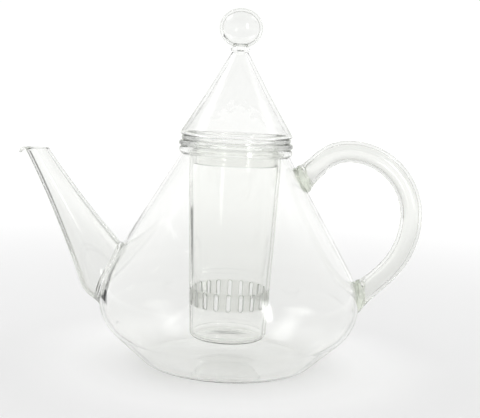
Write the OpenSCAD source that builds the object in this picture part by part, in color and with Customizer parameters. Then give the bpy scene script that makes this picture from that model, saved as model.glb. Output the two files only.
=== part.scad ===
// Glass teapot: a blown pot with a fused spout and handle, a slotted infuser that
// hangs in the mouth, and a hollow cone lid that seats inside the infuser.
// The origin is on the pot's axis in the plane it stands on. +Z is up, +X points
// at the handle and -X at the spout. Millimetres.

/* [Pot] */
// Largest outer diameter of the bowl
bowl_d = 150; // [148:1:152]
// Height of the bowl's widest line
bowl_z = 36.5; // [36:0.5:37]
// Lean of the shoulder from the vertical, in degrees
shoulder_a = 30.5; // [30:0.5:31]
// Radius of the curve below the widest line
lower_r = 26; // [25:0.5:27]
// Radius of the curve from the widest line into the shoulder
upper_r = 36; // [35:1:37]
// Outer diameter of the flat ring that the pot stands on
foot_d = 89.6; // [88:0.4:92]
// Thickness of the blown wall
wall = 1.8; // [1.6:0.1:2]
// Rise of the pushed-up middle of the base
push_up = 1.6; // [1:0.2:2]
// Height of the blown wall
wall_top = 121; // [120.5:0.5:121.5]
// Outer diameter of the bead round the mouth
bead_d = 65; // [64.6:0.2:65.4]
// Height of the bead
bead_h = 4.2; // [4:0.2:4.4]
// Diameter of the mouth
mouth_d = 54.8; // [54:0.2:55.4]

/* [Spout] */
// Distance of the spout's mouth from the pot's axis
tip_x = 114.5; // [114:0.5:115]
// Height of the spout's level mouth
tip_z = 120; // [119.5:0.5:120.5]
// Lean of the spout from the vertical, in degrees
spout_a = 31.6; // [31.2:0.2:32]
// Outer radius at the mouth
tip_r = 5.9; // [5.8:0.1:6.2]
// Wall of the spout
spout_wall = 1.6; // [1.5:0.1:1.7]
// Diameter of the hole through the pot's wall
spout_hole_d = 23; // [20:1:24]

/* [Handle] */
// Outer diameter of the handle's tube
tube_d = 12.4; // [12:0.2:12.8]
// Wall of the handle's tube
tube_wall = 1.8; // [1.6:0.1:2]
// Distance of the handle's crown from the pot's axis
crown_x = 65.8; // [65.4:0.2:66.2]
// Height of the tube's centre line at the crown
crown_z = 125.8; // [125.4:0.2:126.2]
// Radius of the bend from the upper end to the crown
upper_bend_r = 23.2; // [22.4:0.4:24]
// Radius of the bend from the crown to the side
crown_bend_r = 37; // [36.5:0.5:37.5]
// Radius of the bend down the side
side_bend_r = 47; // [46:0.5:48]

/* [Infuser] */
// Outer diameter of the straight top of the infuser
cup_d = 52.4; // [52:0.1:52.8]
// Outer diameter at the bottom
cup_foot_d = 44.6; // [44:0.2:45]
// Wall of the infuser
cup_wall = 1.5; // [1.4:0.1:1.6]
// Height of the infuser's underside above the table
cup_z = 13.6; // [12:0.2:15]
// Diameter of the flange that it hangs by
flange_d = 65.6; // [65:0.2:66]
// Thickness of the flange
flange_h = 3.2; // [3:0.1:3.4]
// Number of slots
slots = 20; // [16:1:22]
// Width of a slot
slot_w = 2.4; // [1.8:0.2:2.8]
// Height of a slot
slot_h = 9.6; // [8:0.2:10]
// Height of the middle of the slots above the table
slot_z = 38.8; // [37:0.2:41]

/* [Lid] */
// Largest diameter of the lid's cone
lid_d = 64.4; // [64:0.2:64.8]
// Height of the cone above the lid's ring
cone_h = 47.4; // [47:0.2:48]
// Outer diameter of the neck
neck_d = 9.4; // [9:0.2:10]
// Thickness of the lid's ring
lid_ring_h = 3; // [2.8:0.1:3.2]
// Depth of the skirt below the ring
skirt_h = 13.4; // [10:0.2:15]
// Clearance of the skirt in the infuser
skirt_gap = 0.4; // [0.3:0.05:0.5]
// Width of the ball
ball_d = 24.6; // [24:0.2:25]
// Height of the ball
ball_h = 22.2; // [21.8:0.2:22.6]
// Height of the neck under the ball
neck_h = 3.4; // [3:0.2:4]

/* [Hidden] */
$fn = 96;
big = 400;
arc_n = 10;          // steps in an arc of an outline
heel_r = 8;          // curve where the side turns under
heel_a = 47;         // angle at which the lower curve gives way to the heel
foot_w = 6;          // width of the flat ring that the pot stands on
bead_turn = 1.4;     // rounding of the rings' edges
weld_t = 3;          // thickness of a weld on the pot's wall
weld_rim = 1.4;      // how far a weld stands out round what it holds
spout_flare = 80;    // length of the flared part of the spout
flare_1 = 0.065;     // slope of the spout's side at its mouth
flare_2 = 0.00086;   // how fast that slope grows
lip_major = 6.8;     // the rolled lip that the spout pours over
lip_minor = 1.5;
lip_shift = 1.3;     // how far the lip sits outwards of the spout's axis
lip_drop = 0.7;      // middle of the lip's roll below the level mouth
end_reach = 28;      // ends of the handle, long enough to enter the pot
end_bend_r = 400;    // their slight bend
handle_slope = 45;   // slope of both ends of the handle
cup_corner = 4;      // rounding of the infuser's bottom edge
cup_straight = 15;   // straight length under the flange
lid_wall = 1.8;
lid_turn = 1.2;      // how far the lower edge of the cone is turned in
skirt_wall = 1.5;
neck_wall = 1.8;
neck_bead = 0.8;     // how far the neck's ring stands out
ball_wall = 1.5;

bowl_r = bowl_d / 2;
mouth_r = mouth_d / 2;
bead_r = bead_d / 2;
flange_z = wall_top + bead_h;
ring_z = flange_z + flange_h;
cone_z = ring_z + lid_ring_h;
neck_z = cone_z + cone_h;
ball_z = neck_z + neck_h;
cup_r = cup_d / 2;
cup_foot_r = cup_foot_d / 2;
skirt_r = cup_r - cup_wall - skirt_gap;
neck_r = neck_d / 2;
lid_r = lid_d / 2;
ring_r = lid_r - lid_turn + 0.4;

glass = [0.80, 0.86, 0.83, 0.35];
edge_glass = [0.62, 0.70, 0.64, 0.55];

// Points along an arc in the plane of an outline, from angle a to angle b.
function arc(x, z, r, a, b, n = arc_n) =
    [for (i = [0 : n]) [x + r * cos(a + (b - a) * i / n), z + r * sin(a + (b - a) * i / n)]];

// Half of an ellipse's outline, from angle a to angle b.
function oval(z, rx, rz, a, b, n) =
    [for (i = [0 : n]) [rx * cos(a + (b - a) * i / n), z + rz * sin(a + (b - a) * i / n)]];

// The same points from last to first.
function back(p) = [for (i = [len(p) - 1 : -1 : 0]) p[i]];

// The pot's side from foot to mouth, moved inwards by t.
function pot_side(t) = concat(
    arc(foot_d / 2, heel_r, heel_r - t, -90, -heel_a, arc_n / 2),
    arc(bowl_r - lower_r, bowl_z, lower_r - t, -heel_a, 0),
    arc(bowl_r - upper_r, bowl_z, upper_r - t, 0, shoulder_a),
    [[shoulder_at(wall_top, t), wall_top]]
);

// Radius of the straight shoulder at height z, moved inwards by t.
function shoulder_at(z, t) =
    bowl_r - upper_r + (upper_r - t) * cos(shoulder_a)
    - (z - bowl_z - (upper_r - t) * sin(shoulder_a)) * tan(shoulder_a);

// The filled pot, grown by g.
module pot_solid(g = 0) {
    rotate_extrude()
        polygon(concat([[0, -g]], pot_side(-g), [[0, wall_top]]));
}

// A flat ring whose outer edges are rounded by low and high.
module ring(r_in, r_out, z, h, low, high) {
    rotate_extrude()
        polygon(concat(
            [[r_in, z]],
            arc(r_out - low, z + low, low, -90, 0, arc_n / 2),
            arc(r_out - high, z + h - high, high, 0, 90, arc_n / 2),
            [[r_in, z + h]]
        ));
}

// The blown bowl and shoulder, with a hole where the spout is fused on.
module pot_body() {
    color(glass)
    difference() {
        rotate_extrude()
            polygon(concat(
                [[0, push_up], [foot_d / 2 - foot_w, 0]],
                pot_side(0),
                back(pot_side(wall)),
                [[foot_d / 2 - foot_w, wall], [0, push_up + wall]]
            ));
        at_spout()
            translate([0, 0, spout_flare - 20])
                cylinder(h = 40, d = spout_hole_d);
    }
}

// The bead of glass round the mouth.
module pot_rim() {
    color(edge_glass)
        ring(mouth_r, bead_r, wall_top, bead_h, bead_turn, bead_turn);
}

// Along the spout's axis, from the middle of its mouth towards the pot.
module at_spout() {
    translate([-tip_x, 0, tip_z])
        rotate([0, 180 - spout_a, 0])
            children();
}

// Outer radius of the spout at distance s along its axis.
function spout_r(s) = tip_r + flare_1 * s + flare_2 * s * s;

// The filled spout, grown by g, with a round end inside the pot.
module spout_solid(g = 0) {
    end_a = atan(flare_1 + 2 * flare_2 * spout_flare);
    end_r = spout_r(spout_flare) / cos(end_a);
    end_s = spout_flare + end_r * sin(end_a);
    start = -2 * tip_r;
    at_spout()
        rotate_extrude()
            polygon(concat(
                [[0, start]],
                [for (i = [0 : arc_n]) let (s = start + (spout_flare - start) * i / arc_n)
                    [spout_r(s) + g, s]],
                arc(0, end_s, end_r + g, -end_a + 9, 90)
            ));
}

// The spout: a flared tube with a level mouth and a rolled lip.
module spout() {
    color(glass)
    difference() {
        union() {
            spout_solid();
            translate([-tip_x - lip_shift, 0, tip_z - lip_drop])
                rotate_extrude()
                    translate([lip_major, 0])
                        circle(r = lip_minor);
        }
        spout_solid(-spout_wall);
        translate([-big / 2, -big / 2, tip_z])
            cube(big);
        pot_solid();
    }
}

// The fillet of glass that joins the spout to the pot.
module spout_weld() {
    color(edge_glass)
    difference() {
        intersection() {
            spout_solid(weld_rim);
            pot_solid(weld_t);
        }
        spout_solid();
        pot_solid();
    }
}

// The outline across the handle's tube.
module tube_section() {
    difference() {
        circle(d = tube_d);
        circle(d = tube_d - 2 * tube_wall);
    }
}

// A bend of the handle about the point x, z, from angle a to angle b.
module bend(x, z, bend_r, a, b) {
    translate([x, 0, z])
        rotate([90, 0, 0])
            rotate([0, 0, a])
                rotate_extrude(angle = b - a)
                    translate([bend_r, 0])
                        tube_section();
}

upper_x = crown_x - upper_bend_r * sin(handle_slope);
upper_z = crown_z - upper_bend_r * (1 - cos(handle_slope));
side_x = crown_x + crown_bend_r - side_bend_r;
side_z = crown_z - crown_bend_r;
lower_x = side_x + side_bend_r * cos(handle_slope);
lower_z = side_z - side_bend_r * sin(handle_slope);
end_off = end_bend_r * sin(handle_slope);
end_turn = end_reach / end_bend_r * 180 / PI;

// The handle: a bent tube whose nearly straight ends stop on the two welds.
module handle() {
    color(glass)
    difference() {
        union() {
            bend(upper_x + end_off, upper_z - end_off, end_bend_r,
                 180 - handle_slope, 180 - handle_slope + end_turn);
            bend(crown_x, crown_z - upper_bend_r, upper_bend_r, 90, 180 - handle_slope);
            bend(crown_x, side_z, crown_bend_r, 0, 90);
            bend(side_x, side_z, side_bend_r, -handle_slope, 0);
            bend(lower_x - end_off, lower_z + end_off, end_bend_r,
                 -handle_slope - end_turn, -handle_slope);
        }
        pot_solid(weld_t);
    }
}

// A disc of glass between the end of the handle that starts at x, z and the pot.
module handle_weld(x, z) {
    color(edge_glass)
    difference() {
        intersection() {
            translate([x, 0, z])
                rotate([0, 180 + handle_slope, 0])
                    cylinder(h = end_reach, d = tube_d + 2 * weld_rim);
            pot_solid(weld_t);
        }
        pot_solid();
    }
}

module handle_upper_weld() {
    handle_weld(upper_x, upper_z);
}

module handle_lower_weld() {
    handle_weld(lower_x, lower_z);
}

// The flange that rests on the pot's bead.
module infuser_flange() {
    color(edge_glass)
        ring(cup_r - cup_wall, flange_d / 2, flange_z, flange_h, bead_turn, bead_turn);
}

// The infuser's side, straight under the flange and then tapered, moved inwards by t.
function cup_side(t) = [
    [cup_foot_r - t, cup_z + cup_corner],
    [cup_r - t, flange_z - cup_straight],
    [cup_r - t, flange_z]
];

// The infuser's tube with its band of slots.
module infuser_tube() {
    color(glass)
    difference() {
        rotate_extrude()
            polygon(concat(cup_side(0), back(cup_side(cup_wall))));
        for (i = [0 : slots - 1])
            rotate([0, 0, (i + 0.5) * 360 / slots])
                translate([cup_foot_r / 2, 0, slot_z])
                    rotate([90, 0, 90])
                        linear_extrude(height = cup_foot_r)
                            slot();
    }
}

// The outline of one slot, with round ends.
module slot() {
    square([slot_w, slot_h - slot_w], center = true);
    for (side = [-1, 1])
        translate([0, side * (slot_h - slot_w) / 2])
            circle(d = slot_w);
}

// The closed bottom of the infuser.
module infuser_base() {
    color(glass)
        rotate_extrude()
            polygon(concat(
                [[0, cup_z]],
                arc(cup_foot_r - cup_corner, cup_z + cup_corner, cup_corner, -90, 0),
                arc(cup_foot_r - cup_corner, cup_z + cup_corner, cup_corner - cup_wall, 0, -90),
                [[0, cup_z + cup_wall]]
            ));
}

// The hollow cone of the lid, its lower edge turned in.
module lid_cone() {
    lean = lid_wall / cos(atan((lid_r - neck_r) / (cone_h - lid_turn)));
    color(glass)
        rotate_extrude()
            polygon([
                [lid_r - lid_turn, cone_z],
                [lid_r, cone_z + lid_turn],
                [neck_r, neck_z],
                [neck_r - neck_wall, neck_z],
                [neck_r - neck_wall, neck_z - 0.5],
                [lid_r - lean, cone_z + lid_turn],
                [lid_r - lean - lid_turn / 2, cone_z]
            ]);
}

// The ring under the cone that rests on the infuser's flange.
module lid_ring() {
    color(edge_glass)
        ring(skirt_r - skirt_wall, ring_r, ring_z, lid_ring_h, bead_turn, 0.4);
}

// The skirt that seats the lid inside the infuser.
module lid_skirt() {
    color(glass)
        rotate_extrude()
            translate([skirt_r - skirt_wall, ring_z - skirt_h])
                square([skirt_wall, skirt_h]);
}

// The short neck between the cone and the ball, with a ring round its middle.
module lid_neck() {
    mid = neck_z + neck_h / 2;
    color(edge_glass)
        rotate_extrude()
            polygon(concat(
                [[neck_r - neck_wall, neck_z], [neck_r, neck_z]],
                arc(neck_r, mid, neck_bead, -90, 90, arc_n / 2),
                [[neck_r, ball_z], [neck_r - neck_wall, ball_z]]
            ));
}

// The hollow ball that the lid is lifted by, open to the neck.
module lid_knob() {
    mid = ball_z + ball_h / 2 * cos(asin(2 * neck_r / ball_d));
    low = -acos(2 * neck_r / ball_d);
    inner_r = ball_d / 2 - ball_wall;
    inner_h = ball_h / 2 - ball_wall;
    inner_low = -acos((neck_r - neck_wall) / inner_r);
    color(glass)
        rotate_extrude()
            polygon(concat(
                oval(mid, ball_d / 2, ball_h / 2, low, 90, 3 * arc_n),
                oval(mid, inner_r, inner_h, 90, inner_low, 3 * arc_n),
                [[neck_r - neck_wall, ball_z]]
            ));
}

pot_body();
pot_rim();
spout();
spout_weld();
handle();
handle_upper_weld();
handle_lower_weld();
infuser_flange();
infuser_tube();
infuser_base();
lid_cone();
lid_ring();
lid_skirt();
lid_neck();
lid_knob();
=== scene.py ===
import bpy
import bmesh
import math
from mathutils import Matrix, Vector


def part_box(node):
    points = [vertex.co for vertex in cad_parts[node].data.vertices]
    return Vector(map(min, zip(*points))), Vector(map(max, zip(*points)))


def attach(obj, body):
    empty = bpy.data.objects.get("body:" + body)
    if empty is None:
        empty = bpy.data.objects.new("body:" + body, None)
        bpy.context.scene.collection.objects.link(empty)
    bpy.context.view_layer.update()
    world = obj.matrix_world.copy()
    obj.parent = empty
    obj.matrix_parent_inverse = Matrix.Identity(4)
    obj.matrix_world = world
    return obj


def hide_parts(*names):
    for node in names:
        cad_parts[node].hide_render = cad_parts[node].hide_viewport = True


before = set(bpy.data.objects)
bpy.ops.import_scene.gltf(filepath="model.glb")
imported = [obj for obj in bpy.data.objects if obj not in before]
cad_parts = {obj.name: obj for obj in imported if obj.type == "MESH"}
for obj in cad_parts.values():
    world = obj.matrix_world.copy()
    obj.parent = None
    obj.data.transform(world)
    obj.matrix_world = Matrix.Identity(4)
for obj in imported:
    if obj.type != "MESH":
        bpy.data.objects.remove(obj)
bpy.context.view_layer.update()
scene = bpy.context.scene
mm = 0.001
yAxis = Vector((0, 1, 0))
gap = 0.03                                  # mm left between pieces that are fused on the real pot
print("frame loaded:", len(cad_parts), "nodes")


def top(node):                              # height of a node's top, in mm
    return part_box(node)[1].z / mm


def foot(node):                             # height of a node's underside, in mm
    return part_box(node)[0].z / mm


def reach(node):                            # half of a turned node's width, in mm
    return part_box(node)[1].y / mm


# the camera stands a little above the lid and leans slightly
camera = {
    "distance": 569 * mm,                   # from the pot's axis
    "height": 157.8 * mm,
    "aside": 4 * mm,
    "pitch": 6.82,                          # degrees below the horizon
    "roll": 2.7,                            # the camera leans a little
    "lens": 74.55,
}

cameraData = bpy.data.cameras.new("camera")
cameraData.lens = camera["lens"]
cameraData.sensor_width = 36
cameraData.clip_start = 0.02
cameraObject = bpy.data.objects.new("camera", cameraData)
scene.collection.objects.link(cameraObject)
cameraObject.matrix_world = (
    Matrix.Translation((camera["aside"], -camera["distance"], camera["height"]))
    @ Matrix.Rotation(math.radians(90 - camera["pitch"]), 4, "X")
    @ Matrix.Rotation(math.radians(camera["roll"]), 4, "Z")
)
scene.camera = cameraObject


def link(tree, source, target):
    tree.links.new(source, target)


def mathNode(tree, operation, a, b=None, clamp=False):
    node = tree.nodes.new("ShaderNodeMath")
    node.operation = operation
    node.use_clamp = clamp
    for socket, value in zip(node.inputs, (a, b)):
        if value is None:
            continue
        if isinstance(value, (int, float)):
            socket.default_value = value
        else:
            link(tree, value, socket)
    return node.outputs[0]


def times(tree, a, b, clamp=False):
    return mathNode(tree, "MULTIPLY", a, b, clamp)


def plus(tree, a, b):
    return mathNode(tree, "ADD", a, b)


def addNode(tree, kind, inputs=None, **settings):   # an input is a value, or a socket to link to
    node = tree.nodes.new(kind)
    for name, value in settings.items():
        setattr(node, name, value)
    for name, value in (inputs or {}).items():
        if isinstance(value, bpy.types.NodeSocket):
            link(tree, value, node.inputs[name])
        else:
            node.inputs[name].default_value = value
    return node


def rangeNode(tree, value, low, high, toLow=0, toHigh=1, kind="SMOOTHSTEP"):
    inputs = {"Value": value, "From Min": low, "From Max": high, "To Min": toLow, "To Max": toHigh}
    return addNode(tree, "ShaderNodeMapRange", inputs, interpolation_type=kind).outputs["Result"]


def setInput(modifier, name, value):        # by the socket's identifier
    for item in modifier.node_group.interface.items_tree:
        if item.item_type == "SOCKET" and item.in_out == "INPUT" and item.name == name:
            modifier[item.identifier] = value


def arc(x, z, r, start, end, n):            # points along an arc, angles in degrees
    points = []
    for i in range(n + 1):
        a = math.radians(start + (end - start) * i / n)
        points.append((x + r * math.cos(a), z + r * math.sin(a)))
    return points


def line(a, b, n):                          # points from a towards b, without b
    return [(a[0] + (b[0] - a[0]) * i / n, a[1] + (b[1] - a[1]) * i / n) for i in range(n)]


def rounded(corners, r, n=5):               # a closed outline with every corner rounded
    points = []
    count = len(corners)
    for i, corner in enumerate(corners):
        here = Vector(corner)
        before = (Vector(corners[i - 1]) - here).normalized()
        after = (Vector(corners[(i + 1) % count]) - here).normalized()
        half = before.angle(after) / 2
        cut = r / math.tan(half)
        middle = here + (before + after).normalized() * (r / math.sin(half))
        start = here + before * cut - middle
        end = here + after * cut - middle
        for k in range(n + 1):
            points.append(tuple(middle + start.lerp(end, k / n).normalized() * r))
    points.append(points[0])
    return points


def finishMesh(mesh, sharpAngle=38):        # outward faces, smooth, with sharp corners kept
    bm = bmesh.new()
    bm.from_mesh(mesh)
    bmesh.ops.remove_doubles(bm, verts=bm.verts, dist=2e-6)
    bmesh.ops.dissolve_degenerate(bm, edges=bm.edges, dist=1e-7)
    strays = [edge for edge in bm.edges if not edge.link_faces]
    bmesh.ops.delete(bm, geom=strays, context="EDGES")
    bmesh.ops.recalc_face_normals(bm, faces=bm.faces)
    for face in bm.faces:
        face.smooth = True
    limit = math.radians(sharpAngle)
    for edge in bm.edges:
        edge.smooth = not (len(edge.link_faces) == 2 and edge.calc_face_angle(0) > limit)
    openEdges = sum(1 for edge in bm.edges if len(edge.link_faces) != 2)
    if openEdges:
        print("open edges:", mesh.name, openEdges)
    bm.to_mesh(mesh)
    bm.free()


def asPiece(name, mesh):
    mesh.name = name
    piece = bpy.data.objects.new(name, mesh)
    scene.collection.objects.link(piece)
    return piece


def applied(worker, name, whole=True):      # the evaluated object as a plain mesh
    bpy.context.view_layer.update()
    graph = bpy.context.evaluated_depsgraph_get()
    mesh = bpy.data.meshes.new_from_object(worker.evaluated_get(graph))
    bpy.data.meshes.remove(worker.data)     # and the worker with it
    used = sorted({polygon.material_index for polygon in mesh.polygons})
    materials = [mesh.materials[i] for i in used]
    indices = [used.index(polygon.material_index) for polygon in mesh.polygons]
    mesh.materials.clear()
    for material in materials:
        mesh.materials.append(material)
    mesh.polygons.foreach_set("material_index", indices)
    piece = asPiece(name, mesh)
    if whole:
        finishMesh(mesh)
    return piece


def joined(name, parts):                    # parts that share their edges, as one closed piece
    bm = bmesh.new()
    materials = []
    for part in parts:
        start = len(bm.faces)
        bm.from_mesh(part.data)
        bm.faces.ensure_lookup_table()
        for material in part.data.materials:
            if material not in materials:
                materials.append(material)
        slots = [materials.index(material) for material in part.data.materials]
        for face in bm.faces[start:]:
            face.material_index = slots[face.material_index]
        bpy.data.meshes.remove(part.data)
    mesh = bpy.data.meshes.new(name)
    bm.to_mesh(mesh)
    bm.free()
    for material in materials:
        mesh.materials.append(material)
    finishMesh(mesh)
    return asPiece(name, mesh)


def gridPiece(name, rings, material, closed=True):  # rings of points, and whether each ring closes
    count = len(rings[0])
    verts = [tuple(point * mm) for ring in rings for point in ring]
    faces = []
    for j in range(len(rings)):
        k = (j + 1) % len(rings)
        for i in range(count if closed else count - 1):
            n = (i + 1) % count
            faces.append((j * count + i, j * count + n, k * count + n, k * count + i))
    mesh = bpy.data.meshes.new(name)
    mesh.from_pydata(verts, [], faces)
    mesh.materials.append(material)
    finishMesh(mesh)
    return asPiece(name, mesh)


glass = {
    "ior": 1.47,
    "pot": (0.976, 0.978, 0.971),           # what is left after one wall
    "spout": (0.945, 0.948, 0.938),
    "handle": (0.930, 0.934, 0.920),
    "drawn": (0.978, 0.980, 0.973),
    "slotted": (0.978, 0.980, 0.973),
    "cone": (0.974, 0.976, 0.969),
    "ball": (0.950, 0.953, 0.945),
    "thick": (0.990, 0.992, 0.985),
    "cut": (0.93, 0.94, 0.91),
    "weld": (0.93, 0.945, 0.895),
    "edge": (0.80, 0.82, 0.77),             # darker where a wall is seen along its depth: partly the longer way through the glass, partly a painted reflection of dark surroundings
    "outline": (0.90, 0.91, 0.885),         # and a painted dark outline at the very side of a piece
    "paintedOutlineMix": 0.6,
    "absorb": (0.30, 0.38, 0.22),           # what a long way through the glass leaves
    "density": 6,
    "weldDensity": 28,
    "shade": (0.994, 0.994, 0.993),         # what a lamp keeps at each face
    "streak": 0.06,                         # strength of the drawn streaks
    "ripple": 0.05,
}


def mixColours(tree, factor, first, second):        # either colour may be a socket
    mix = tree.nodes.new("ShaderNodeMix")
    mix.data_type = "RGBA"
    link(tree, factor, mix.inputs["Factor"])
    sockets = [socket for socket in mix.inputs if socket.type == "RGBA"]
    for socket, colour in zip(sockets, (first, second)):
        if isinstance(colour, tuple):
            socket.default_value = (*colour, 1)
        else:
            link(tree, colour, socket)
    return next(socket for socket in mix.outputs if socket.type == "RGBA")


def makeGlass(kind, streakScale, streak, edgeStart, density=glass["density"], roughness=0.0, through=1.0):
    colour = glass[kind]
    material = bpy.data.materials.new(kind + "Glass")
    material.use_nodes = True
    tree = material.node_tree
    tree.nodes.clear()
    # a painted dark rim where the glass is seen at a slant: partly the longer way through the wall, partly
    # a painted reflection of dark surroundings
    slant = addNode(tree, "ShaderNodeLayerWeight", {"Blend": 0.5}).outputs["Facing"]
    rim = rangeNode(tree, slant, edgeStart, 0.5 + edgeStart / 2)
    place = addNode(tree, "ShaderNodeTexCoord").outputs["Object"]
    stretch = addNode(tree, "ShaderNodeMapping", {"Vector": place, "Scale": streakScale})
    streaks = addNode(tree, "ShaderNodeTexNoise",
                      {"Vector": stretch.outputs["Vector"], "Scale": 1, "Detail": 2})
    ripples = addNode(tree, "ShaderNodeTexNoise", {"Vector": place, "Scale": 45, "Detail": 1})
    smears = addNode(tree, "ShaderNodeTexNoise", {"Vector": place, "Scale": 120})
    drawnBump = addNode(tree, "ShaderNodeBump", {
        "Strength": streak,
        "Distance": 1 * mm,
        "Height": streaks.outputs["Fac"],
    })
    blownBump = addNode(tree, "ShaderNodeBump", {
        "Strength": glass["ripple"],
        "Distance": 1 * mm,
        "Height": ripples.outputs["Fac"],
        "Normal": drawnBump.outputs["Normal"],
    })
    body = addNode(tree, "ShaderNodeBsdfPrincipled", {
        "Base Color": mixColours(tree, rim, colour, glass["edge"]),
        "Roughness": rangeNode(tree, smears.outputs["Fac"], 0.45, 0.8, roughness, roughness + 0.03,
                               "LINEAR"),
        "IOR": glass["ior"],
        "Transmission Weight": through,
        "Normal": blownBump.outputs["Normal"],
    })
    # the very side lets the background through dimmed: a painted dark outline
    side = addNode(tree, "ShaderNodeBsdfTransparent", {"Color": (*glass["outline"], 1)})
    lamp = addNode(tree, "ShaderNodeBsdfTransparent", {"Color": (*glass["shade"], 1)})
    paintedOutline = addNode(tree, "ShaderNodeMixShader", {
        0: times(tree, rim, glass["paintedOutlineMix"]),
        1: body.outputs["BSDF"],
        2: side.outputs["BSDF"],
    })
    shaded = addNode(tree, "ShaderNodeMixShader", {
        0: addNode(tree, "ShaderNodeLightPath").outputs["Is Shadow Ray"],
        1: paintedOutline.outputs["Shader"],
        2: lamp.outputs["BSDF"],
    })
    depth = addNode(tree, "ShaderNodeVolumeAbsorption",
                    {"Color": (*glass["absorb"], 1), "Density": density})
    addNode(tree, "ShaderNodeOutputMaterial",
            {"Surface": shaded.outputs["Shader"], "Volume": depth.outputs["Volume"]})
    return material


potGlass = makeGlass("pot", (40, 40, 40), 0.05, 0.87)
spoutGlass = makeGlass("spout", (60, 60, 30), 0.05, 0.50)
handleGlass = makeGlass("handle", (60, 60, 60), 0.05, 0.50)
coneGlass = makeGlass("cone", (240, 240, 8), glass["streak"], 0.72)
ballGlass = makeGlass("ball", (60, 60, 60), 0.04, 0.62)
drawnGlass = makeGlass("drawn", (260, 260, 6), glass["streak"], 0.72)
slottedGlass = makeGlass("slotted", (260, 260, 6), glass["streak"], 0.72)
weldGlass = makeGlass("weld", (90, 90, 90), 0.08, 0.35, glass["weldDensity"])
thickGlass = makeGlass("thick", (90, 90, 90), 0.05, 0.75)
cutGlass = makeGlass("cut", (900, 900, 900), 0.15, 0.90, roughness=0.45, through=0.35)


def grindBand(material, middle, half, soft, haze, tone):    # a hazy ring where the slots were cut
    tree = material.node_tree
    body = tree.nodes["Principled BSDF"]
    place = tree.nodes["Texture Coordinate"].outputs["Object"]
    height = addNode(tree, "ShaderNodeSeparateXYZ", {"Vector": place}).outputs["Z"]
    off = mathNode(tree, "ABSOLUTE", mathNode(tree, "SUBTRACT", height, middle * mm))
    mask = rangeNode(tree, off, (half - soft) * mm, (half + soft) * mm, 1, 0)
    cloud = addNode(tree, "ShaderNodeTexNoise", {"Vector": place, "Scale": 260, "Detail": 3}).outputs["Fac"]
    patchy = times(tree, mask,
                      plus(tree, times(tree, cloud, 0.9), 0.45), True)
    clean = body.inputs["Roughness"].links[0].from_socket
    link(tree, plus(tree, clean, times(tree, patchy, haze)),
         body.inputs["Roughness"])
    clear = body.inputs["Base Color"].links[0].from_socket
    link(tree, mixColours(tree, patchy, clear, tone), body.inputs["Base Color"])


grindBand(slottedGlass, 38.8, 5.0, 0.8, 0.22, (0.86, 0.868, 0.84))
print("glass mixed")


drawnInputs = ("Streak depth", "Streaks", "Bands", "Seed")


def addSockets(tree, kind, names, way="INPUT"):
    for name in names:
        tree.interface.new_socket(name, in_out=way, socket_type="NodeSocket" + kind)


def groupEnds(tree):                        # the group's own inputs, and what its result goes to
    return tree.nodes.new("NodeGroupInput").outputs, tree.nodes.new("NodeGroupOutput").inputs


def makeBendTree():                         # turn, radius and height to a place, with the glass's streaks
    tree = bpy.data.node_groups.new("bentRound", "GeometryNodeTree")
    addSockets(tree, "Float", ("Turn", "Radius", "Height", "Inside") + drawnInputs)
    addSockets(tree, "Vector", ("Place",), "OUTPUT")
    given, result = groupEnds(tree)
    cosine = mathNode(tree, "COSINE", given["Turn"])
    sine = mathNode(tree, "SINE", given["Turn"])
    along = plus(tree, times(tree, given["Height"], given["Bands"]), given["Seed"])
    spot = addNode(tree, "ShaderNodeCombineXYZ", {
        "X": times(tree, cosine, given["Streaks"]),
        "Y": times(tree, sine, given["Streaks"]),
        "Z": plus(tree, along, times(tree, given["Inside"], 9)),
    })
    noise = addNode(tree, "ShaderNodeTexNoise", {"Vector": spot.outputs["Vector"], "Scale": 1, "Detail": 1})
    nearAxis = mathNode(tree, "DIVIDE", given["Radius"], 8 * mm, True)
    push = times(tree, times(tree, noise.outputs[0], given["Streak depth"]),
                    nearAxis)
    reached = mathNode(tree, "SUBTRACT", given["Radius"], push)
    place = addNode(tree, "ShaderNodeCombineXYZ", {
        "X": times(tree, cosine, reached),
        "Y": times(tree, sine, reached),
        "Z": given["Height"],
    })
    link(tree, place.outputs["Vector"], result["Place"])
    return tree


bendTree = makeBendTree()


def bendNode(tree, given, turn, radius, height, inside):
    inputs = {name: given[name] for name in drawnInputs}
    inputs.update({"Turn": turn, "Radius": radius, "Height": height, "Inside": inside})
    return addNode(tree, "GeometryNodeGroup", inputs, node_tree=bendTree).outputs["Place"]


def movedAndPainted(tree, geometry, place, material):
    move = addNode(tree, "GeometryNodeSetPosition", {"Geometry": geometry, "Position": place})
    merge = addNode(tree, "GeometryNodeMergeByDistance",
                    {"Geometry": move.outputs["Geometry"], "Distance": 2e-6})
    real = addNode(tree, "GeometryNodeRealizeInstances", {"Geometry": merge.outputs["Geometry"]})
    paint = addNode(tree, "GeometryNodeSetMaterial",
                    {"Geometry": real.outputs["Geometry"], "Material": material})
    return paint.outputs["Geometry"]


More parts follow.
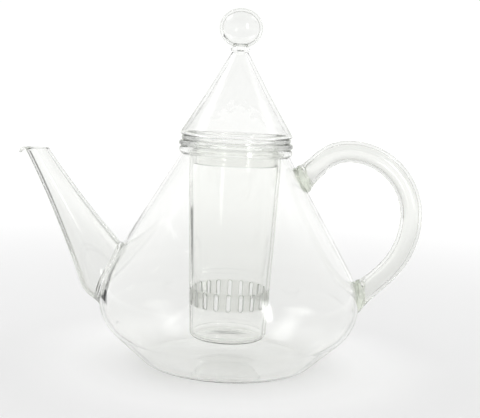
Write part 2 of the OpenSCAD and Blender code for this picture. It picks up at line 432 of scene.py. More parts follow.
def makeTurningTree():                      # turns an outline round the pot's axis
    tree = bpy.data.node_groups.new("turnedGlass", "GeometryNodeTree")
    addSockets(tree, "Geometry", ("Outline",))
    addSockets(tree, "Int", ("Segments",))
    addSockets(tree, "Float", ("Start",) + drawnInputs)
    addSockets(tree, "Material", ("Glass",))
    addSockets(tree, "Geometry", ("Turned",), "OUTPUT")
    given, result = groupEnds(tree)
    size = addNode(tree, "GeometryNodeAttributeDomainSize", {"Geometry": given["Outline"]})
    count = size.outputs["Point Count"]
    grid = addNode(tree, "GeometryNodeMeshGrid", {
        "Vertices X": plus(tree, given["Segments"], 1),
        "Vertices Y": count,
    })
    index = tree.nodes.new("GeometryNodeInputIndex").outputs["Index"]
    column = mathNode(tree, "FLOOR", mathNode(tree, "DIVIDE", plus(tree, index, 0.5), count))
    row = mathNode(tree, "SUBTRACT", index, times(tree, column, count))
    sample = addNode(tree, "GeometryNodeSampleIndex", {"Geometry": given["Outline"]},
                     data_type="FLOAT_VECTOR")
    link(tree, tree.nodes.new("GeometryNodeInputPosition").outputs["Position"], sample.inputs["Value"])
    link(tree, row, sample.inputs["Index"])
    parts = addNode(tree, "ShaderNodeSeparateXYZ", {"Vector": sample.outputs["Value"]}).outputs
    wrapped = mathNode(tree, "MODULO", column, given["Segments"])
    turn = times(tree, mathNode(tree, "DIVIDE", wrapped, given["Segments"]), 2 * math.pi)
    place = bendNode(tree, given, plus(tree, turn, given["Start"]), parts["X"], parts["Z"],
                     mathNode(tree, "DIVIDE", parts["Y"], mm))
    link(tree, movedAndPainted(tree, grid.outputs["Mesh"], place, given["Glass"]), result["Turned"])
    return tree


turningTree = makeTurningTree()


def turned(name, outline, material, segments=160, depth=0.0, streaks=6.0, bands=20.0, seed=1.0,
           start=0.0, whole=True):
    # the outline holds (radius, height) or (radius, height, 1) on the inner side
    mesh = bpy.data.meshes.new(name)
    verts = [(p[0] * mm, p[2] * mm if len(p) > 2 else 0, p[1] * mm) for p in outline]
    mesh.from_pydata(verts, [(i, i + 1) for i in range(len(verts) - 1)], [])
    worker = bpy.data.objects.new(name + "Outline", mesh)
    scene.collection.objects.link(worker)
    modifier = worker.modifiers.new("turn", "NODES")
    modifier.node_group = turningTree
    values = (segments, start, depth * mm, streaks, bands, seed, material)
    for label, value in zip(("Segments", "Start") + drawnInputs + ("Glass",), values):
        setInput(modifier, label, value)
    return applied(worker, name, whole)


def inner(points):                          # marks points as the inner side of a wall
    return [(p[0], p[1], 1) for p in points]


def ringPiece(name, node, ring, seed, lowGap):      # a ring of thick glass with rounded corners
    low = foot(node) + lowGap
    high = top(node) - gap / 2
    corners = [(ring["boreR"], low), (reach(node), low), (reach(node), high), (ring["boreR"], high)]
    return turned(name, rounded(corners, ring["round"], 8), thickGlass, 192, 0.05, 2, 60, seed)


# the blown pot
pot = {
    "wideZ": 36.5,                          # height of the widest line
    "lean": 30.5,                           # shoulder from the vertical, degrees
    "lowerR": 26,
    "upperR": 36,
    "footR": 44.8,
    "heelR": 8,
    "heelA": 47,
    "wall": 1.8,
    "floor": 2.2,
    "pushUp": 1.6,
    "holeR": 11.5,
    "ripple": 0.10,
}
potWide = reach("pot_body") + 0.04
wallTop = top("pot_body")


def shoulder(z, t=0.0):                     # radius of the shoulder at a height
    x = potWide - pot["upperR"]
    lean = math.radians(pot["lean"])
    r = pot["upperR"] - t
    return x + r * math.cos(lean) - (z - pot["wideZ"] - r * math.sin(lean)) * math.tan(lean)


def potSide(t):                             # from the foot to the mouth, moved inwards by t
    lowerX = potWide - pot["lowerR"]
    upperX = potWide - pot["upperR"]
    heel = arc(pot["footR"], pot["heelR"], pot["heelR"] - t, -90, -pot["heelA"], 8)
    lower = arc(lowerX, pot["wideZ"], pot["lowerR"] - t, -pot["heelA"], 0, 16)
    upper = arc(upperX, pot["wideZ"], pot["upperR"] - t, 0, pot["lean"], 12)
    end = (shoulder(wallTop, t), wallTop)
    return (heel + line(heel[-1], lower[0], 8)[1:] + lower + upper[1:]
            + line(upper[-1], end, 24)[1:] + [end])


def pushedUp(z, r, n=14):                   # the base's middle, from the axis out to r
    points = []
    for i in range(n + 1):
        x = r * i / n
        points.append((x, z + pot["pushUp"] * (1 + math.cos(math.pi * i / n)) / 2))
    return points


flatR = pot["footR"] - 6
outside = pushedUp(0, flatR) + potSide(0)
inside = pushedUp(pot["floor"], flatR) + potSide(pot["wall"])[1:]
outside[-1] = (outside[-1][0], wallTop - gap)
inside[-1] = (inside[-1][0], wallTop - gap)
potBody = turned("potBody", outside + inner(inside[::-1]), potGlass, 192, pot["ripple"], 1.6, 30, 3.0)


def potRadius(z, grow=0.0):                 # outer radius of the pot at a height, grown outwards
    if z >= pot["wideZ"] + (pot["upperR"] + grow) * math.sin(math.radians(pot["lean"])):
        return shoulder(z, -grow)
    if z >= pot["wideZ"]:
        r = pot["upperR"] + grow
        return potWide - pot["upperR"] + math.sqrt(max(r * r - (z - pot["wideZ"]) ** 2, 0))
    r = pot["lowerR"] + grow
    return potWide - pot["lowerR"] + math.sqrt(max(r * r - (z - pot["wideZ"]) ** 2, 0))


def entry(curve, low, high, grow):          # where a curve goes into the pot, between low and high
    for _ in range(40):
        middle = (low + high) / 2
        point = curve(middle)
        if math.hypot(point.x, point.y) > potRadius(point.z, grow):
            low = middle
        else:
            high = middle
    return low


# the bead round its mouth
bead = {"round": 1.75, "boreR": 27.4}
potRim = ringPiece("potRim", "pot_rim", bead, 5.0, gap)

# the spout, drawn out of one tube and rolled at its lip
spout = {
    "mouth": (-114.5, 0, 120),
    "lean": 31.6,                           # from the vertical, degrees
    "tipR": 5.9,
    "flare": 80,                            # length of the flared part
    "slope": 0.065,
    "growth": 0.00086,
    "wall": 1.5,
    "lipWall": 1.35,
    "curlR": 1.95,                          # roll of the pouring lip
    "curlBack": 22,                         # degrees of curl on the pot's side
    "curlFront": 160,                       # and at the beak
    "weldFoot": 2.4,                        # width of the fillet on the pot
    "weldRise": 3.4,                        # height of the fillet on the spout
}
spoutStart = Vector(spout["mouth"])
spoutLean = math.radians(spout["lean"])
spoutWay = Vector((math.sin(spoutLean), 0, -math.cos(spoutLean)))
spoutUnder = yAxis.cross(spoutWay)          # points away from the pot
endAngle = math.atan(spout["slope"] + 2 * spout["growth"] * spout["flare"])
flareR = spout["tipR"] + spout["slope"] * spout["flare"] + spout["growth"] * spout["flare"] ** 2
endR = flareR / math.cos(endAngle)
endS = spout["flare"] + endR * math.sin(endAngle)


def spoutRadius(s, grow=0.0):
    if s <= spout["flare"]:
        return spout["tipR"] + spout["slope"] * s + spout["growth"] * s * s + grow
    return math.sqrt(max((endR + grow) ** 2 - (s - endS) ** 2, 0))


def spoutPoint(s, r, angle):
    out = spoutUnder * math.cos(angle) + yAxis * math.sin(angle)
    return spoutStart + spoutWay * s + out * r


def spoutEntry(angle, grow, potGrow):       # where the spout's side meets the pot
    return entry(lambda s: spoutPoint(s, spoutRadius(s, grow), angle), 50, endS + endR + grow - 0.01,
                 potGrow)


def spoutSection(angle, n=44):              # the wall's closed outline at one angle
    front = max(math.cos(angle), 0) ** 3
    curl = math.radians(spout["curlBack"] + (spout["curlFront"] - spout["curlBack"]) * front)
    half = spout["lipWall"] / 2
    low = spoutEntry(angle, 0, gap)
    lowIn = spoutEntry(angle, -spout["wall"], gap)

    def build(topS):
        points = []
        for i in range(n):
            s = low + (topS - low) * (1 - (1 - i / n) ** 1.15)
            points.append(Vector((s, spoutRadius(s))))
        centre = Vector((topS, spoutRadius(topS) - half)) + Vector((0, spout["curlR"]))

        def curled(a, r):
            return centre + Vector((-math.sin(a), -math.cos(a))) * r

        steps = 10
        for i in range(steps + 1):          # outer side of the curl
            points.append(curled(curl * i / steps, spout["curlR"] - half))
        end = curled(curl, spout["curlR"])
        outwards = Vector((math.sin(curl), math.cos(curl)))
        forwards = Vector((-math.cos(curl), math.sin(curl)))
        for i in range(1, 6):               # round edge of the lip
            a = math.pi * i / 6
            points.append(end + outwards * (math.cos(a) * half) + forwards * (math.sin(a) * half))
        for i in range(steps, -1, -1):      # inner side of the curl
            points.append(curled(curl * i / steps, spout["curlR"] + half))
        for i in range(1, n + 1):
            s = topS + (lowIn - topS) * (i / n)
            wall = spout["lipWall"] + (spout["wall"] - spout["lipWall"]) * min(1, (s - topS) / 12)
            points.append(Vector((s, spoutRadius(s, -wall))))
        return [spoutPoint(p.x, p.y, angle) for p in points]

    topS = 0.0
    for _ in range(6):                      # slides the rim until it is level
        highest = max(p.z for p in build(topS))
        topS += (highest - (spout["mouth"][2] - gap)) / math.cos(spoutLean)
    return build(topS)


spoutTurns = 112
spoutSections = [spoutSection(2 * math.pi * i / spoutTurns) for i in range(spoutTurns)]
spoutPiece = gridPiece("spoutTube", spoutSections, spoutGlass)
print("spout drawn")


def weldSection(angle, n=10):               # the fillet's closed outline at one angle
    rootS = spoutEntry(angle, gap, gap)
    root = spoutPoint(rootS, spoutRadius(rootS, gap), angle)
    points = []
    size = 0.8 + 0.2 * math.cos(angle)      # the fillet narrows towards the top
    weldFoot = spout["weldFoot"] * size
    upS = rootS - spout["weldRise"] * size
    up = spoutPoint(upS, spoutRadius(upS, gap), angle)
    footS = spoutEntry(angle, weldFoot, gap)
    away = spoutPoint(footS, spoutRadius(footS, weldFoot), angle)
    control = root + (up - root) * 0.30 + (away - root) * 0.42
    for i in range(n + 1):
        t = i / n
        points.append(up * (1 - t) ** 2 + control * 2 * t * (1 - t) + away * t * t)
    for i in range(1, 5):                   # back along the pot
        grow = weldFoot + (gap - weldFoot) * i / 5
        s = spoutEntry(angle, grow, gap)
        points.append(spoutPoint(s, spoutRadius(s, grow), angle))
    points.append(root)
    for i in range(1, 4):                   # and up the spout
        s = rootS + (upS - rootS) * i / 4
        points.append(spoutPoint(s, spoutRadius(s, gap), angle))
    return points


spoutWeld = gridPiece("spoutWeld", [weldSection(2 * math.pi * i / spoutTurns) for i in range(spoutTurns)],
                      thickGlass)

# the hole in the pot's wall, cut along the spout's axis
cutter = turned("holeCutter", [(0, 60), (pot["holeR"], 60), (pot["holeR"], 112), (0, 112)], potGlass, 64)
cutter.data.transform(
    Matrix.Translation(spoutStart * mm) @ Matrix.Rotation(math.pi - spoutLean, 4, "Y")
)
cutter.data.flip_normals()
finishMesh(cutter.data)
cut = potBody.modifiers.new("hole", "BOOLEAN")
cut.object = cutter
cut.operation = "DIFFERENCE"
cut.solver = "EXACT"
potBody = applied(potBody, "potBody")
bpy.data.objects.remove(cutter)
print("pot blown")

# the handle, bent from one tube
handle = {
    "tubeR": 6.2,
    "wall": 1.75,
    "crown": (65.8, 125.8),                 # centre line at the crown
    "bends": (23.2, 37, 47),                # upper end to crown, crown to side, down the side
    "slope": 45,                            # both ends
    "endBend": 400,
    "endReach": 28,
    "thicken": 0.9,                         # where the ends swell into their welds
    "weldT": 3,
    "weldR": 7.5,
}


def handlePath():
    crownX, crownZ = handle["crown"]
    upperR, crownR, sideR = handle["bends"]
    slope = math.radians(handle["slope"])
    turnAtEnd = math.degrees(handle["endReach"] / handle["endBend"])
    off = handle["endBend"] * math.sin(slope)
    upper = (crownX - upperR * math.sin(slope), crownZ - upperR * (1 - math.cos(slope)))
    sideX = crownX + crownR - sideR
    sideZ = crownZ - crownR
    lower = (sideX + sideR * math.cos(slope), sideZ - sideR * math.sin(slope))
    start = 180 - handle["slope"]
    points = arc(upper[0] + off, upper[1] - off, handle["endBend"], start + turnAtEnd, start, 28)
    points += arc(crownX, crownZ - upperR, upperR, start, 90, 20)[1:]
    points += arc(crownX, sideZ, crownR, 90, 0, 60)[1:]
    points += arc(sideX, sideZ, sideR, 0, -handle["slope"], 38)[1:]
    points += arc(lower[0] - off, lower[1] + off, handle["endBend"], -handle["slope"],
                  -handle["slope"] - turnAtEnd, 28)[1:]
    return [Vector((x, 0, z)) for x, z in points]


handleLine = handlePath()
handleRun = [0.0]
for a, b in zip(handleLine, handleLine[1:]):
    handleRun.append(handleRun[-1] + (b - a).length)
handleLength = handleRun[-1]


def handleFrame(s):                         # place and side direction at a distance along the tube
    s = min(max(s, 0), handleLength)
    low = 0
    high = len(handleRun) - 1
    while high - low > 1:
        middle = (low + high) // 2
        if handleRun[middle] <= s:
            low = middle
        else:
            high = middle
    t = (s - handleRun[low]) / (handleRun[high] - handleRun[low])
    before = (handleLine[min(low + 1, len(handleLine) - 1)] - handleLine[max(low - 1, 0)]).normalized()
    after = (handleLine[min(high + 1, len(handleLine) - 1)] - handleLine[max(high - 1, 0)]).normalized()
    way = before.lerp(after, t).normalized()
    return handleLine[low].lerp(handleLine[high], t), yAxis.cross(way)


def handlePoint(s, r, angle):
    centre, side = handleFrame(s)
    return centre + (side * math.cos(angle) + yAxis * math.sin(angle)) * r


def handleEnds(r, angle, grow):             # where the tube's side leaves and enters the pot
    reached = handle["endReach"] + 6
    start = handleLength - reached
    upper = entry(lambda s: handlePoint(reached - s, r, angle), 0, reached, grow)
    lower = entry(lambda s: handlePoint(start + s, r, angle), 0, reached, grow)
    return reached - upper, start + lower


def swell(s, ends):                         # the tube is a little thicker at its ends
    near = min(s - ends[0], ends[1] - s)
    return handle["thicken"] * math.exp(-max(near, 0) / 3.0)


def handleSection(angle, n=150):
    grow = handle["weldT"] + gap
    outerEnds = handleEnds(handle["tubeR"], angle, grow)
    innerR = handle["tubeR"] - handle["wall"]
    innerEnds = handleEnds(innerR, angle, grow)
    points = []
    for i in range(n + 1):
        s = outerEnds[0] + (outerEnds[1] - outerEnds[0]) * i / n
        points.append(handlePoint(s, handle["tubeR"] + swell(s, outerEnds), angle))
    for i in range(n + 1):
        s = innerEnds[1] + (innerEnds[0] - innerEnds[1]) * i / n
        points.append(handlePoint(s, innerR - swell(s, innerEnds), angle))
    return points


handleTurns = 56
handleSections = [handleSection(2 * math.pi * i / handleTurns) for i in range(handleTurns)]
handlePiece = gridPiece("handleTube", handleSections, handleGlass)


def handleWeld(name, end):                  # a disc of glass between the handle's end and the pot
    turns = 72
    rings = []
    for i in range(turns):
        angle = 2 * math.pi * i / turns
        points = []
        for k in range(9):                  # on the pot, from the middle out
            r = handle["weldR"] * k / 8 + 0.001
            s = handleEnds(r, angle, gap)[end]
            points.append(handlePoint(s, r, angle))
        for k in range(1, 8):               # the rounded side
            t = k / 8
            bulge = 0.5 * math.sin(math.pi * t)
            r = handle["weldR"] + (handle["tubeR"] + handle["thicken"] - handle["weldR"]) * t + bulge
            s = handleEnds(r, angle, gap + (handle["weldT"] - 2 * gap) * t)[end]
            points.append(handlePoint(s, r, angle))
        for k in range(8, -1, -1):          # against the handle, back to the middle
            r = (handle["tubeR"] + handle["thicken"]) * k / 8 + 0.001
            s = handleEnds(r, angle, handle["weldT"] - gap)[end]
            points.append(handlePoint(s, r, angle))
        rings.append(points)
    return gridPiece(name, rings, weldGlass, False)


upperWeld = handleWeld("handleUpperWeld", 0)
lowerWeld = handleWeld("handleLowerWeld", 1)
print("handle bent")

# the infuser's collar, which hangs on the bead
collar = {"round": 1.55, "boreR": 24.7}
infuserCollar = ringPiece("infuserCollar", "infuser_flange", collar, 9.0, gap / 2)

# the infuser's tube, with its ring of slots
tube = {
    "topR": 26.2,
    "bendZ": 110.2,                         # straight above this, tapered below
    "lowR": 22.3,
    "wall": 1.5,
    "slots": 20,
    "slotZ": 38.8,
    "slotW": 2.4,
    "slotH": 9.6,
    "bandH": 15.6,                          # height of the ring that holds the slots
    "chamfer": 0.28,
    "segments": 8,                          # of the tube, for each slot
    "streak": 0.07,
}
tubeLow = foot("infuser_tube") + gap / 2
tubeTop = top("infuser_tube") - gap / 2
bandLow = tube["slotZ"] - tube["bandH"] / 2
bandTop = tube["slotZ"] + tube["bandH"] / 2


def tubeR(z):
    low = foot("infuser_tube")
    if z >= tube["bendZ"]:
        return tube["topR"]
    return tube["lowR"] + (tube["topR"] - tube["lowR"]) * (z - low) / (tube["bendZ"] - low)


def slotCell():                             # one slot in its own part of the tube, laid flat
    across = tube["segments"]
    down = 14
    middleR = tubeR(tube["slotZ"])
    halfTurn = math.pi / tube["slots"]
    halfH = tube["bandH"] / 2
    end = tube["slotH"] / 2 - tube["slotW"] / 2

    def slotLoop(grow):                     # the slot's edge, grown by so much
        r = tube["slotW"] / 2 + grow
        side = r / middleR
        points = []
        for i in range(across):
            a = math.pi * (1 - i / across)
            points.append((r * math.cos(a) / middleR, end + r * math.sin(a)))
        points += line((side, end), (side, -end), down)
        for i in range(across):
            a = -math.pi * i / across
            points.append((r * math.cos(a) / middleR, -end + r * math.sin(a)))
        return points + line((-side, -end), (-side, end), down)

    def blend(a, b, t):
        return [(p[0] + (q[0] - p[0]) * t, p[1] + (q[1] - p[1]) * t) for p, q in zip(a, b)]

    # the cell's own edge, from its top left, clockwise
    edge = (line((-halfTurn, halfH), (halfTurn, halfH), across)
            + line((halfTurn, halfH), (halfTurn, -halfH), down)
            + line((halfTurn, -halfH), (-halfTurn, -halfH), across)
            + line((-halfTurn, -halfH), (-halfTurn, halfH), down))
    rim = slotLoop(tube["chamfer"])
    hole = slotLoop(0)
    chamfer = tube["chamfer"] / tube["wall"]
    loops = [(blend(edge, rim, t), 0) for t in (0, 0.3, 0.6, 0.85, 1)]
    loops += [(hole, chamfer), (hole, 0.5), (hole, 1 - chamfer)]
    loops += [(blend(edge, rim, t), 1) for t in (1, 0.85, 0.6, 0.3, 0)]
    count = len(edge)
    verts = []
    for points, depth in loops:
        verts += [(p[0], depth, tube["slotZ"] * mm + p[1] * mm) for p in points]
    faces = []
    cutFaces = []
    for j in range(len(loops) - 1):
        for i in range(count):
            n = (i + 1) % count
            faces.append((j * count + i, j * count + n, (j + 1) * count + n, (j + 1) * count + i))
            cutFaces.append(4 <= j <= 7)
    mesh = bpy.data.meshes.new("slotCell")
    mesh.from_pydata(verts, [], faces)
    ground = mesh.attributes.new("ground", "BOOLEAN", "FACE")
    for i, value in enumerate(cutFaces):
        ground.data[i].value = value
    return mesh


def makeSlotTree():                         # repeats the cell round the tube and bends it round
    tree = bpy.data.node_groups.new("slottedGlass", "GeometryNodeTree")
    addSockets(tree, "Geometry", ("Cell",))
    addSockets(tree, "Int", ("Slots",))
    addSockets(tree, "Float", ("Low height", "Low radius", "Bend height", "Top radius", "Wall"))
    addSockets(tree, "Float", drawnInputs)
    addSockets(tree, "Material", ("Glass", "Ground glass"))
    addSockets(tree, "Geometry", ("Slotted",), "OUTPUT")
    given, result = groupEnds(tree)
    step = mathNode(tree, "DIVIDE", 2 * math.pi, given["Slots"])
    stepWay = addNode(tree, "ShaderNodeCombineXYZ", {"X": step})
    row = addNode(tree, "GeometryNodeMeshLine",
                  {"Count": given["Slots"], "Offset": stepWay.outputs["Vector"]}, mode="OFFSET")
    copies = addNode(tree, "GeometryNodeInstanceOnPoints",
                     {"Points": row.outputs["Mesh"], "Instance": given["Cell"]})
    flat = addNode(tree, "GeometryNodeRealizeInstances", {"Geometry": copies.outputs["Instances"]})
    here = tree.nodes.new("GeometryNodeInputPosition").outputs["Position"]
    parts = addNode(tree, "ShaderNodeSeparateXYZ", {"Vector": here}).outputs
    taper = rangeNode(tree, parts["Z"], given["Low height"], given["Bend height"], given["Low radius"],
                      given["Top radius"], "LINEAR")
    radius = mathNode(tree, "SUBTRACT", taper, times(tree, parts["Y"], given["Wall"]))
    place = bendNode(tree, given, parts["X"], radius, parts["Z"], parts["Y"])
    painted = movedAndPainted(tree, flat.outputs["Geometry"], place, given["Glass"])
    cuts = addNode(tree, "GeometryNodeInputNamedAttribute", {"Name": "ground"}, data_type="BOOLEAN")
    grind = addNode(tree, "GeometryNodeSetMaterial", {
        "Geometry": painted,
        "Selection": cuts.outputs["Attribute"],
        "Material": given["Ground glass"],
    })
    link(tree, grind.outputs["Geometry"], result["Slotted"])
    return tree


cellObject = bpy.data.objects.new("slotCell", slotCell())
scene.collection.objects.link(cellObject)
ringMaker = cellObject.modifiers.new("slots", "NODES")
ringMaker.node_group = makeSlotTree()
ringValues = {
    "Slots": tube["slots"],
    "Low height": foot("infuser_tube") * mm,
    "Low radius": tube["lowR"] * mm,
    "Bend height": tube["bendZ"] * mm,
    "Top radius": tube["topR"] * mm,
    "Wall": tube["wall"] * mm,
    "Glass": slottedGlass,
    "Ground glass": cutGlass,
    "Streak depth": tube["streak"] * mm,
    "Streaks": 5.0,
    "Bands": 14.0,
    "Seed": 2.0,
}
for name, value in ringValues.items():
    setInput(ringMaker, name, value)
slotRing = applied(cellObject, "slotRing", False)


def tubeWall(points):                       # outer side upwards, then the inner side downwards
    return [(tubeR(z), z) for z in points], [(tubeR(z) - tube["wall"], z, 1) for z in reversed(points)]


bend = tube["bendZ"]
aboveZ = ([bandTop + (bend - 4 - bandTop) * i / 30 for i in range(31)]
          + [bend - 2.5, bend - 1, bend + 1, bend + 2.5]
          + [bend + 4 + (tubeTop - bend - 4) * i / 6 for i in range(7)])
belowZ = [tubeLow + (bandLow - tubeLow) * i / 8 for i in range(9)]
upOut, upIn = tubeWall(aboveZ)
lowOut, lowIn = tubeWall(belowZ)
tubeTurns = tube["slots"] * tube["segments"]
upperTube = turned("upperTube", upOut + upIn, slottedGlass, tubeTurns, tube["streak"], 5.0, 14.0, 2.0,
                   start=-math.pi / tube["slots"], whole=False)
lowerTube = turned("lowerTube", lowIn + lowOut, slottedGlass, tubeTurns, tube["streak"], 5.0, 14.0, 2.0,
                   start=-math.pi / tube["slots"], whole=False)
infuserTube = joined("infuserTube", [slotRing, upperTube, lowerTube])
print("infuser drawn, with", tube["slots"], "slots")

# the infuser's closed bottom
base = {"cornerR": 4, "wall": 1.5}
baseLow = foot("infuser_base")
baseTop = top("infuser_base") - gap / 2
baseR = tubeR(foot("infuser_tube"))
outerCorner = arc(baseR - base["cornerR"], baseLow + base["cornerR"], base["cornerR"], -90, 0, 12)
innerCorner = arc(baseR - base["cornerR"], baseLow + base["cornerR"], base["cornerR"] - base["wall"],
                  -90, 0, 12)
outerCorner[-1] = (outerCorner[-1][0], baseTop)
innerCorner[-1] = (innerCorner[-1][0], baseTop)
flat = [(baseR - base["cornerR"]) * i / 10 for i in range(10)]
infuserBase = turned(
    "infuserBase",
    [(r, baseLow + 0.5 * (1 + math.cos(math.pi * i / 10)) / 2) for i, r in enumerate(flat)] + outerCorner
    + inner(innerCorner[::-1] + [(r, baseLow + base["wall"]) for r in flat[::-1]]),
    drawnGlass, tubeTurns, 0.05, 5.0, 14.0, 2.0,
)

# the lid's ring, and the skirt that keeps the lid in place
seat = {"round": 1.4, "boreR": 22.8, "skirtR": 24.3, "skirtRound": 0.62}
lidRing = ringPiece("lidRing", "lid_ring", seat, 12.0, gap / 2)
skirtTop = top("lid_skirt") - gap / 2
skirtFoot = foot("lid_skirt")
skirtMiddle = (seat["boreR"] + seat["skirtR"]) / 2
skirtHalf = (seat["skirtR"] - seat["boreR"]) / 2
skirtEdge = arc(skirtMiddle, skirtFoot + skirtHalf, skirtHalf, 0, -180, 10)
skirtOut = [(seat["skirtR"], z) for z in (skirtTop, skirtTop - 3, skirtTop - 6, skirtTop - 9)]
skirtIn = [(seat["boreR"], z, 1) for z in (skirtTop - 9, skirtTop - 6, skirtTop - 3, skirtTop)]
lidSkirt = turned("lidSkirt", skirtOut + skirtEdge + skirtIn + [skirtOut[0]], drawnGlass, 160, 0.05,
                  5.0, 30.0, 21.0)

# the lid's cone
cone = {
    "wall": 1.8,
    "footR": 32.2,
    "footZ": 1.2,                           # height of the cone's rounded foot
    "boreR": 2.9,
    "streak": 0.09,
}
coneLow = foot("lid_cone") + gap / 2
coneTop = top("lid_cone") - gap / 2
neckR = reach("lid_neck") - 0.8
coneFoot = (cone["footR"], foot("lid_cone") + cone["footZ"])
coneWay = Vector((neckR - coneFoot[0], top("lid_cone") - coneFoot[1]))
coneRun = coneWay.length
coneWay.normalize()
coneSide = Vector((coneWay.y, -coneWay.x))  # outwards


def conePoint(t, depth):                    # t from the foot to the neck, depth into the wall
    hollow = 0.35 * math.sin(math.pi * t) ** 2
    p = Vector(coneFoot) + coneWay * (coneRun * t) - coneSide * (depth + hollow)
    return (max(p.x, cone["boreR"]), p.y)


coneSteps = [i / 34 for i in range(35)]
coneOut = [conePoint(t, 0) for t in coneSteps]
coneOut[-1] = (neckR, coneTop)
coneIn = [conePoint(t, cone["wall"]) for t in coneSteps if conePoint(t, cone["wall"])[1] > coneLow + 1.0]
coneIn = [p for p in coneIn if p[1] < coneTop - 0.6] + [(cone["boreR"], coneTop)]
insideR = coneIn[0][0]
footArc = [(coneFoot[0] - 1.25 + 1.25 * math.cos(math.radians(a)),
            coneFoot[1] + 0.05 + (coneFoot[1] + 0.05 - coneLow) * math.sin(math.radians(a)))
           for a in (-90, -70, -50, -30, -10)]
lidCone = turned(
    "lidCone",
    footArc + coneOut + inner(coneIn[::-1]) + [(insideR + 0.25, coneLow + 0.25, 1),
                                               (insideR + 0.7, coneLow), footArc[0]],
    coneGlass, 192, cone["streak"], 4.0, 10.0, 15.0,
)

# the neck, and the hollow ball on it
ball = {"wide": 24.6, "tall": 22.2, "middleZ": 192.45, "wall": 1.5, "boreR": 2.9, "flare": 1.3}
ballLow = foot("lid_knob") + gap / 2
neckLow = foot("lid_neck") + gap / 2
neckTop = top("lid_neck") - gap / 2
beadR = reach("lid_neck")
neckSide = []
for i in range(17):                         # a soft bead between cone and ball
    t = i / 16
    neckSide.append((neckR - 0.1 + (beadR - neckR + 0.1) * math.sin(math.pi * t) ** 1.5,
                     neckLow + (neckTop - neckLow) * t))
neckBore = [(ball["boreR"], neckTop, 1), (ball["boreR"], neckLow, 1)]
lidNeck = turned("lidNeck", neckSide + neckBore + [neckSide[0]], thickGlass, 96, 0.0)


def ballPoint(a, t):                        # a from −90 at the bottom to 90 at the top
    return ((ball["wide"] / 2 - t) * math.cos(a), ball["middleZ"] + (ball["tall"] / 2 - t) * math.sin(a))


def ballStart(x, t):                        # the angle where the ball is x wide, near its bottom
    return -math.acos(min(x / (ball["wide"] / 2 - t), 1))


outStart = ballStart(neckR, 0)
inStart = ballStart(ball["boreR"] + 0.01, ball["wall"])
ballOut = [ballPoint(outStart + (math.pi / 2 - outStart) * i / 44, 0) for i in range(45)]
ballIn = [ballPoint(inStart + (math.pi / 2 - inStart) * i / 44, ball["wall"]) for i in range(45)]
ballOut = [p for p in ballOut if p[1] > ballLow + 0.35]
lidKnob = turned(
    "lidKnob",
    [(neckR, ballLow), (neckR + 0.02, ballLow + 0.2)] + ballOut + inner(ballIn[::-1])
    + [(ball["boreR"], ballLow, 1), (neckR, ballLow)],
    ballGlass, 128, 0.04, 1.2, 60, 7.0,
)
print("lid turned")

# what each piece stands for, moves with, and the finish listed for it
pieces = [
    (potBody, "pot", "clear_glass", "pot_body"),
    (potRim, "pot", "edge_glass", "pot_rim"),
    (spoutPiece, "pot", "clear_glass", "spout"),
    (spoutWeld, "pot", "edge_glass", "spout_weld"),
    (handlePiece, "pot", "clear_glass", "handle"),
    (upperWeld, "pot", "edge_glass", "handle_upper_weld"),
    (lowerWeld, "pot", "edge_glass", "handle_lower_weld"),
    (infuserCollar, "infuser", "edge_glass", "infuser_flange"),
    (infuserTube, "infuser", "clear_glass", "infuser_tube"),
    (infuserBase, "infuser", "clear_glass", "infuser_base"),
    (lidCone, "lid", "clear_glass", "lid_cone"),
    (lidRing, "lid", "edge_glass", "lid_ring"),
    (lidSkirt, "lid", "clear_glass", "lid_skirt"),
    (lidNeck, "lid", "edge_glass", "lid_neck"),
    (lidKnob, "lid", "clear_glass", "lid_knob"),
]
for piece, body, finish, node in pieces:
    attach(piece, body)
    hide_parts(node)
print("pieces:", len(pieces), "triangles:",
      sum(len(p.vertices) - 2 for piece in pieces for p in piece[0].data.polygons))

# a wide round floor, which runs out into the bright room; it is paler at the pot's foot, in place of the
# light that real glass throws there; within 0.9 m of the pot it is darker, painted shade, and further out
# it glows faintly, painted light that blends it into the room
studio = {
    "floorR": 9.0,
    "floorZ": -0.05,                        # mm, just clear of the pot's foot
    # painted shade near the pot, painted light at its foot and far out
    "shadedNearFloor": 0.83,
    "litFarFloor": 0.97,
    "potGlow": 0.28,
    "paintedFarGlow": 0.14,
    "nearRange": (0.16, 0.9),               # m from the pot, for each of the three tones
    "potRange": (0.03, 0.14),
    "farRange": (0.15, 1.4),
    "backLight": 1.03,
    "frontLight": 0.88,
}
floorTurns = 96
floorRadii = [0.25, 0.6, 1.2, 2.5, 5, studio["floorR"]]
floorVerts = [(r * math.cos(2 * math.pi * i / floorTurns), r * math.sin(2 * math.pi * i / floorTurns),
               studio["floorZ"] * mm)
              for r in floorRadii for i in range(floorTurns)]
floorFaces = [tuple(range(floorTurns))]
for j in range(len(floorRadii) - 1):
    for i in range(floorTurns):
        n = (i + 1) % floorTurns
        floorFaces.append((j * floorTurns + i, (j + 1) * floorTurns + i, (j + 1) * floorTurns + n,
                           j * floorTurns + n))
floorMesh = bpy.data.meshes.new("studioFloor")
floorMesh.from_pydata(floorVerts, [], floorFaces)
studioFloor = asPiece("studioFloor", floorMesh)

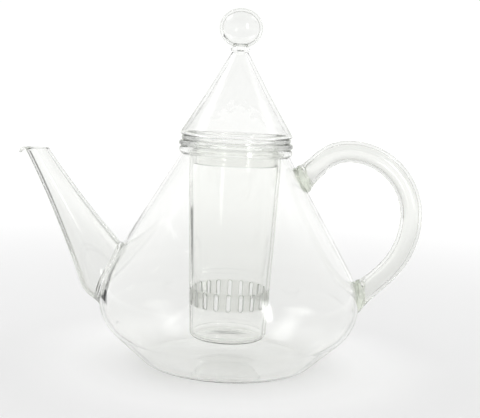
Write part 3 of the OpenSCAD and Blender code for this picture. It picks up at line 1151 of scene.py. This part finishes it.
paper = bpy.data.materials.new("studioPaper")
paper.use_nodes = True
paperTree = paper.node_tree
paperBody = paperTree.nodes["Principled BSDF"]
paperPlace = addNode(paperTree, "ShaderNodeTexCoord").outputs["Object"]
paperFlat = addNode(paperTree, "ShaderNodeVectorMath", {0: paperPlace}, operation="LENGTH").outputs["Value"]
# the floor's colour: painted shade near the pot, with painted light at its foot
paperShade = plus(
    paperTree,
    rangeNode(paperTree, paperFlat, *studio["nearRange"], studio["shadedNearFloor"], studio["litFarFloor"]),
    rangeNode(paperTree, paperFlat, *studio["potRange"], studio["potGlow"], 0),
)
paperColour = addNode(paperTree, "ShaderNodeCombineColor",
                      {"Red": paperShade, "Green": paperShade, "Blue": paperShade})
paperGrain = addNode(paperTree, "ShaderNodeTexNoise", {"Vector": paperPlace, "Scale": 900})
paperBump = addNode(paperTree, "ShaderNodeBump",
                    {"Strength": 0.05, "Distance": 0.2 * mm, "Height": paperGrain.outputs["Fac"]})
paperBody.inputs["Roughness"].default_value = 0.7
paperBody.inputs["Specular IOR Level"].default_value = 0.05
paperBody.inputs["Emission Color"].default_value = (1, 1, 1, 1)
link(paperTree, paperColour.outputs["Color"], paperBody.inputs["Base Color"])
# painted light: the floor glows more the further it is from the pot
link(paperTree, rangeNode(paperTree, paperFlat, *studio["farRange"], 0, studio["paintedFarGlow"]),
     paperBody.inputs["Emission Strength"])
link(paperTree, paperBump.outputs["Normal"], paperBody.inputs["Normal"])
floorMesh.materials.append(paper)

# a bright room, dimmer on the camera's side
world = bpy.data.worlds.new("studioWorld")
scene.world = world
world.use_nodes = True
worldTree = world.node_tree
worldTree.nodes.clear()
worldPlace = addNode(worldTree, "ShaderNodeTexCoord").outputs["Generated"]
worldParts = addNode(worldTree, "ShaderNodeSeparateXYZ", {"Vector": worldPlace})
worldLight = addNode(worldTree, "ShaderNodeBackground", {
    "Color": (1, 1, 1, 1),
    "Strength": rangeNode(worldTree, worldParts.outputs["Y"], -0.75, 0.35, studio["frontLight"],
                          studio["backLight"]),
})
addNode(worldTree, "ShaderNodeOutputWorld", {"Surface": worldLight.outputs["Background"]})


def softLight(name, place, target, size, power, lightsFloor=True):
    data = bpy.data.lights.new(name, "AREA")
    data.shape = "RECTANGLE"
    data.size = size[0]
    data.size_y = size[1]
    data.energy = power
    data.use_nodes = True                   # brightest in the middle, fading to its edges
    tree = data.node_tree
    spread = addNode(tree, "ShaderNodeNewGeometry").outputs["Parametric"]
    parts = addNode(tree, "ShaderNodeSeparateXYZ", {"Vector": spread}).outputs
    fades = []
    for axis in ("X", "Y"):
        off = mathNode(tree, "ABSOLUTE", mathNode(tree, "SUBTRACT", parts[axis], 0.5))
        fades.append(rangeNode(tree, off, 0.5, 0.12))
    glow = times(tree, times(tree, fades[0], fades[1]), 2.4)
    link(tree, glow, tree.nodes["Emission"].inputs["Strength"])
    lamp = bpy.data.objects.new(name, data)
    scene.collection.objects.link(lamp)
    way = Vector(target) - Vector(place)
    lamp.matrix_world = Matrix.Translation(place) @ way.to_track_quat("-Z", "Y").to_matrix().to_4x4()
    lamp.visible_camera = False
    lamp.visible_diffuse = lightsFloor
    return lamp


softLight("leftBox", (-1.1, 0.35, 1.3), (0, 0, 0.1), (1.0, 1.0), 2.6)
softLight("rightBox", (1.1, 0.35, 1.3), (0, 0, 0.1), (1.0, 1.0), 1.2)
softLight("frontStrip", (0.66, -1.0, 0.40), (-0.05, 0, 0.1), (0.26, 1.0), 2.4, False)


def darkFlag(name, corners):                # a dark card on the floor that only the glass sees: painted dark surroundings for the glass's edges
    mesh = bpy.data.meshes.new(name)
    mesh.from_pydata([(x, y, 1 * mm) for x, y in corners], [], [(0, 1, 2, 3)])
    mesh.materials.append(flagCloth)
    card = asPiece(name, mesh)
    card.visible_camera = False
    card.visible_diffuse = False
    card.visible_shadow = False


# near-black cloth for the card, a painted dark reflection in the glass
flagCloth = bpy.data.materials.new("flagCloth")
flagCloth.use_nodes = True
flagCloth.node_tree.nodes["Principled BSDF"].inputs["Base Color"].default_value = (0.03, 0.03, 0.03, 1)
flagCloth.node_tree.nodes["Principled BSDF"].inputs["Roughness"].default_value = 0.9
darkFlag("lyingFlag", [(-0.21, 0.12), (-0.17, 0.15), (-0.36, 0.53), (-0.52, 0.42)])
print("studio lit")

scene.view_settings.view_transform = "Standard"
scene.cycles.max_bounces = 36
scene.cycles.transmission_bounces = 36
scene.cycles.glossy_bounces = 8
scene.cycles.transparent_max_bounces = 48
scene.cycles.caustics_reflective = True
scene.cycles.caustics_refractive = True
